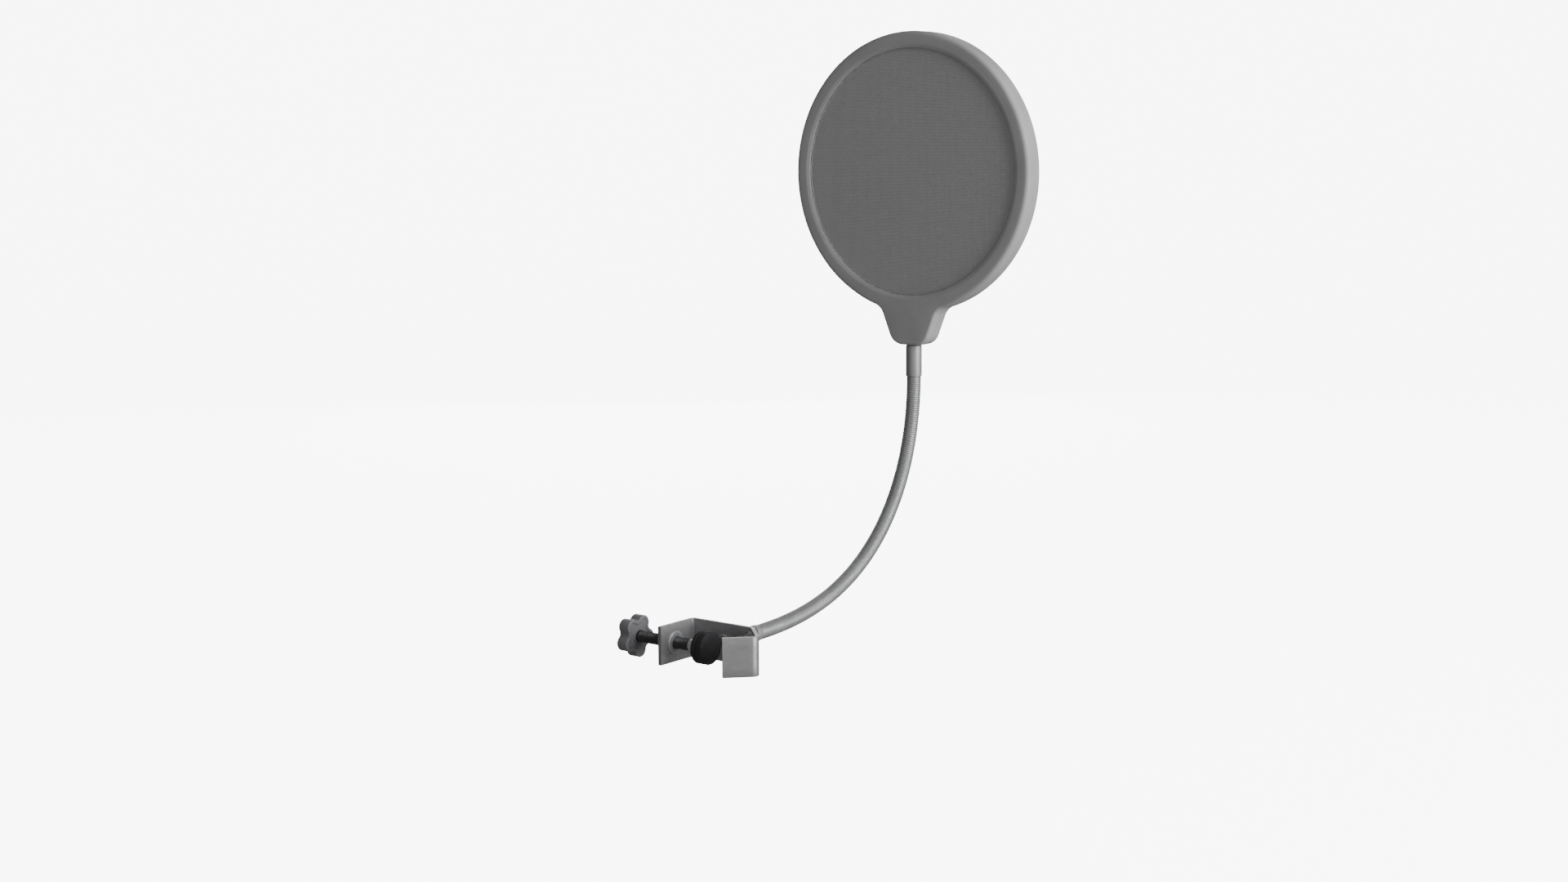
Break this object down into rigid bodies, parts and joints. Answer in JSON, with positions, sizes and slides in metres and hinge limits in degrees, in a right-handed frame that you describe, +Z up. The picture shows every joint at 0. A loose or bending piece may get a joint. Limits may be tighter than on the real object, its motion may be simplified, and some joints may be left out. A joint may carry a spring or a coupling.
{
  "type": "pop filter",
  "caption": "Round two-layer nylon pop filter screen in a moulded frame, carried by a bendable steel gooseneck on a screw clamp with a V jaw and rubber pads.",
  "frame": {"origin": "axis of the clamped pole at mid-height of the bracket", "axes": "+X along the clamp screw towards the V jaw, +Y from the pole towards the screen, +Z up along the pole; the screen faces -Y"},
  "size_m": [0.155, 0.2041, 0.3226],
  "materials": {
    "frame": "matte, fine moulded grain",
    "cloth": "woven nylon, slightly translucent",
    "hoop": "matte",
    "dark_steel": "black oxide, satin",
    "brass": "machined",
    "ferrule": "satin nickel",
    "neck": "satin, fine coil ribs",
    "zinc": "zinc plated",
    "bracket": "satin plated steel strip",
    "pad_black": "matte rubber",
    "knob": "matte moulded"
  },
  "bodies": {
    "clamp": {"clamp_bracket": "bracket", "threaded_insert": "zinc", "jaw_saddle": "pad_black", "mount_screw": "zinc", "lock_washer": "zinc", "coupling_nut": "zinc", "jam_nut": "dark_steel", "lower_ferrule": "ferrule", "goose_01": "neck"},
    "pad": {"swivel_collar": "zinc", "pad_cup": "zinc", "pad_rubber": "pad_black"},
    "screw": {"clamp_screw": "dark_steel", "knob": "knob"},
    "link_02": {"goose_02": "neck"},
    "link_03": {"goose_03": "neck"},
    "link_04": {"goose_04": "neck"},
    "link_05": {"goose_05": "neck"},
    "link_06": {"goose_06": "neck"},
    "link_07": {"goose_07": "neck"},
    "link_08": {"goose_08": "neck"},
    "link_09": {"goose_09": "neck"},
    "link_10": {"goose_10": "neck"},
    "link_11": {"goose_11": "neck", "upper_ferrule": "ferrule", "stem_circlip": "dark_steel"},
    "head": {"front_frame": "frame", "rear_frame": "frame", "front_screen": "cloth", "rear_screen": "cloth", "front_hoop": "hoop", "rear_hoop": "hoop", "spacer_ring": "hoop", "foot_screw_l": "dark_steel", "foot_screw_r": "dark_steel", "stem_bush": "brass"}
  },
  "joints": [
    {"name": "pad_travel", "type": "slide", "parent": "clamp", "child": "pad", "axis": [1, 0, 0], "range_m": [-0.0085, 0.013]},
    {"name": "screw_turn", "type": "hinge", "parent": "pad", "child": "screw", "pos_m": [-0.04, 0, 0], "axis": [1, 0, 0], "range_deg": [-3065, 4685]},
    {"name": "bend_01", "type": "hinge", "parent": "clamp", "child": "link_02", "pos_m": [-0.014, 0.0497, 0], "axis": [1, 0, 0], "range_deg": [-10, 10]},
    {"name": "bend_02", "type": "hinge", "parent": "link_02", "child": "link_03", "pos_m": [-0.014, 0.07115, 0.00151], "axis": [0, -0.1196, 0.9928], "range_deg": [-10, 10]},
    {"name": "bend_03", "type": "hinge", "parent": "link_03", "child": "link_04", "pos_m": [-0.014, 0.09234, 0.00513], "axis": [1, 0, 0], "range_deg": [-10.2, 10.2]},
    {"name": "bend_04", "type": "hinge", "parent": "link_04", "child": "link_05", "pos_m": [-0.014, 0.11288, 0.01149], "axis": [0, -0.3706, 0.9288], "range_deg": [-10.2, 10.2]},
    {"name": "bend_05", "type": "hinge", "parent": "link_05", "child": "link_06", "pos_m": [-0.014, 0.13215, 0.02102], "axis": [1, 0, 0], "range_deg": [-10.2, 10.2]},
    {"name": "bend_06", "type": "hinge", "parent": "link_06", "child": "link_07", "pos_m": [-0.014, 0.14937, 0.03389], "axis": [0, -0.6751, 0.7378], "range_deg": [-10.2, 10.2]},
    {"name": "bend_07", "type": "hinge", "parent": "link_07", "child": "link_08", "pos_m": [-0.014, 0.16372, 0.0499], "axis": [1, 0, 0], "range_deg": [-10.2, 10.2]},
    {"name": "bend_08", "type": "hinge", "parent": "link_08", "child": "link_09", "pos_m": [-0.014, 0.17455, 0.06847], "axis": [0, -0.9088, 0.4172], "range_deg": [-10.2, 10.2]},
    {"name": "bend_09", "type": "hinge", "parent": "link_09", "child": "link_10", "pos_m": [-0.014, 0.18157, 0.0888], "axis": [1, 0, 0], "range_deg": [-10.2, 10.2]},
    {"name": "bend_10", "type": "hinge", "parent": "link_10", "child": "link_11", "pos_m": [-0.014, 0.18487, 0.11004], "axis": [0, -0.997, 0.0768], "range_deg": [-10.2, 10.2]},
    {"name": "head_swivel", "type": "hinge", "parent": "link_11", "child": "head", "pos_m": [-0.014, 0.18487, 0.12034], "axis": [0, 0, 1], "range_deg": [-90, 90]}
  ],
  "couplings": [
    {"joint": "screw_turn", "follows": "pad_travel", "rad_per_m": 6283.2},
    {"joint": "bend_03", "follows": "bend_01", "ratio": 1},
    {"joint": "bend_04", "follows": "bend_02", "ratio": 1},
    {"joint": "bend_05", "follows": "bend_01", "ratio": 1},
    {"joint": "bend_06", "follows": "bend_02", "ratio": 1},
    {"joint": "bend_07", "follows": "bend_01", "ratio": 1},
    {"joint": "bend_08", "follows": "bend_02", "ratio": 1},
    {"joint": "bend_09", "follows": "bend_01", "ratio": 1},
    {"joint": "bend_10", "follows": "bend_02", "ratio": 1}
  ]
}
